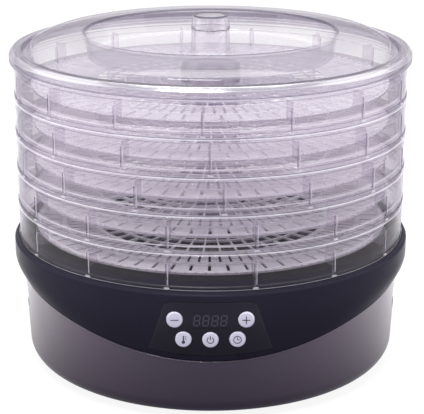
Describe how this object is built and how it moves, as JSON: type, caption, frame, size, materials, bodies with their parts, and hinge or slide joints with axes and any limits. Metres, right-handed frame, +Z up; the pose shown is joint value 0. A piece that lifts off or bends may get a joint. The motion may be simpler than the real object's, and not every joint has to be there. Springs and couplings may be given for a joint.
{
  "type": "food dehydrator",
  "caption": "Round countertop food dehydrator: fan-heated base with a front key panel, stacking clear trays with slotted floors, and a clear lid with a central knob.",
  "frame": {"origin": "centre of the footprint, on the surface that the feet stand on", "axes": "+Z up, -Y towards the front with the control panel, +X to the right as seen from the front"},
  "size_m": [0.338, 0.338, 0.2968],
  "materials": {
    "black_band": "glossy dark charcoal plastic with a faint violet tint",
    "metallic_shell": "satin brown-grey metallic plastic",
    "grey_plastic": "fine matt grey plastic",
    "rubber": "matt black rubber",
    "screw_steel": "zinc-plated steel",
    "panel_gloss": "piano-gloss near-black overlay",
    "display_lens": "smoked glossy lens over unlit digits",
    "display_body": "matt black display body",
    "circuit_board": "green solder-masked board",
    "key_plastic": "pale lavender-white satin key caps",
    "transformer_body": "dark potted transformer",
    "relay_body": "blue relay case",
    "capacitor_can": "sleeved aluminium capacitor",
    "inlet_plastic": "black inlet body with metal pins",
    "motor_steel": "galvanised motor can and bracket",
    "shaft_steel": "ground steel shaft",
    "fan_plastic": "black heat-resistant nylon fan",
    "mica": "mica board",
    "heater_metal": "heat-darkened sheathed element",
    "sensor_metal": "plated sensor can",
    "grille_plastic": "dark heat-resistant plastic",
    "clear_tray": "clear plastic with a faint lavender tint",
    "clear_lid": "clear plastic with a faint lavender tint"
  },
  "bodies": {
    "base": {"lower_shell": "metallic_shell", "upper_shell": "black_band", "bottom_plate": "grey_plastic", "foot_1": "rubber", "foot_2": "rubber", "foot_3": "rubber", "foot_4": "rubber", "case_screw_1": "screw_steel", "case_screw_2": "screw_steel", "case_screw_3": "screw_steel", "case_screw_4": "screw_steel", "control_panel": "panel_gloss", "display_window": "display_lens", "display_module": "display_body", "button_board": "circuit_board", "main_board": "circuit_board", "transformer": "transformer_body", "relay": "relay_body", "capacitor": "capacitor_can", "power_inlet": "inlet_plastic", "air_duct": "grey_plastic", "motor_bracket": "motor_steel", "motor": "motor_steel", "motor_screw_1": "screw_steel", "motor_screw_2": "screw_steel", "heater_frame": "mica", "heater_coil": "heater_metal", "thermal_fuse": "sensor_metal", "temperature_sensor": "sensor_metal", "air_grille": "grille_plastic"},
    "fan": {"fan_shaft": "shaft_steel", "fan_impeller": "fan_plastic"},
    "button_minus": {"button_minus": "key_plastic"},
    "button_plus": {"button_plus": "key_plastic"},
    "button_temperature": {"button_temperature": "key_plastic"},
    "button_power": {"button_power": "key_plastic"},
    "button_timer": {"button_timer": "key_plastic"},
    "tray_5": {"tray_5_wall": "clear_tray", "tray_5_floor": "clear_tray", "tray_5_collar": "clear_tray"},
    "tray_4": {"tray_4_wall": "clear_tray", "tray_4_floor": "clear_tray", "tray_4_collar": "clear_tray"},
    "tray_3": {"tray_3_wall": "clear_tray", "tray_3_floor": "clear_tray", "tray_3_collar": "clear_tray"},
    "tray_2": {"tray_2_wall": "clear_tray", "tray_2_floor": "clear_tray", "tray_2_collar": "clear_tray"},
    "tray_1": {"tray_1_wall": "clear_tray", "tray_1_floor": "clear_tray", "tray_1_collar": "clear_tray"},
    "lid": {"lid": "clear_lid", "knob_cap": "clear_lid", "knob_screw": "screw_steel"}
  },
  "joints": [
    {"name": "fan_spin", "type": "hinge", "parent": "base", "child": "fan", "pos_m": [0, 0, 0.057], "axis": [0, 0, 1], "continuous": true},
    {"name": "press_minus", "type": "slide", "parent": "base", "child": "button_minus", "axis": [0, 1, 0], "range_m": [0, 0.001], "stiffness_N_per_m": 400, "springref_m": -0.0006},
    {"name": "press_plus", "type": "slide", "parent": "base", "child": "button_plus", "axis": [0, 1, 0], "range_m": [0, 0.001], "stiffness_N_per_m": 400, "springref_m": -0.0006},
    {"name": "press_temperature", "type": "slide", "parent": "base", "child": "button_temperature", "axis": [0, 1, 0], "range_m": [0, 0.001], "stiffness_N_per_m": 400, "springref_m": -0.0006},
    {"name": "press_power", "type": "slide", "parent": "base", "child": "button_power", "axis": [0, 1, 0], "range_m": [0, 0.001], "stiffness_N_per_m": 400, "springref_m": -0.0006},
    {"name": "press_timer", "type": "slide", "parent": "base", "child": "button_timer", "axis": [0, 1, 0], "range_m": [0, 0.001], "stiffness_N_per_m": 400, "springref_m": -0.0006},
    {"name": "lift_tray_5", "type": "slide", "parent": "base", "child": "tray_5", "axis": [0, 0, 1], "range_m": [0, 0.045]},
    {"name": "lift_tray_4", "type": "slide", "parent": "tray_5", "child": "tray_4", "axis": [0, 0, 1], "range_m": [0, 0.045]},
    {"name": "lift_tray_3", "type": "slide", "parent": "tray_4", "child": "tray_3", "axis": [0, 0, 1], "range_m": [0, 0.045]},
    {"name": "lift_tray_2", "type": "slide", "parent": "tray_3", "child": "tray_2", "axis": [0, 0, 1], "range_m": [0, 0.045]},
    {"name": "lift_tray_1", "type": "slide", "parent": "tray_2", "child": "tray_1", "axis": [0, 0, 1], "range_m": [0, 0.045]},
    {"name": "lift_lid", "type": "slide", "parent": "tray_1", "child": "lid", "axis": [0, 0, 1], "range_m": [0, 0.06]}
  ]
}
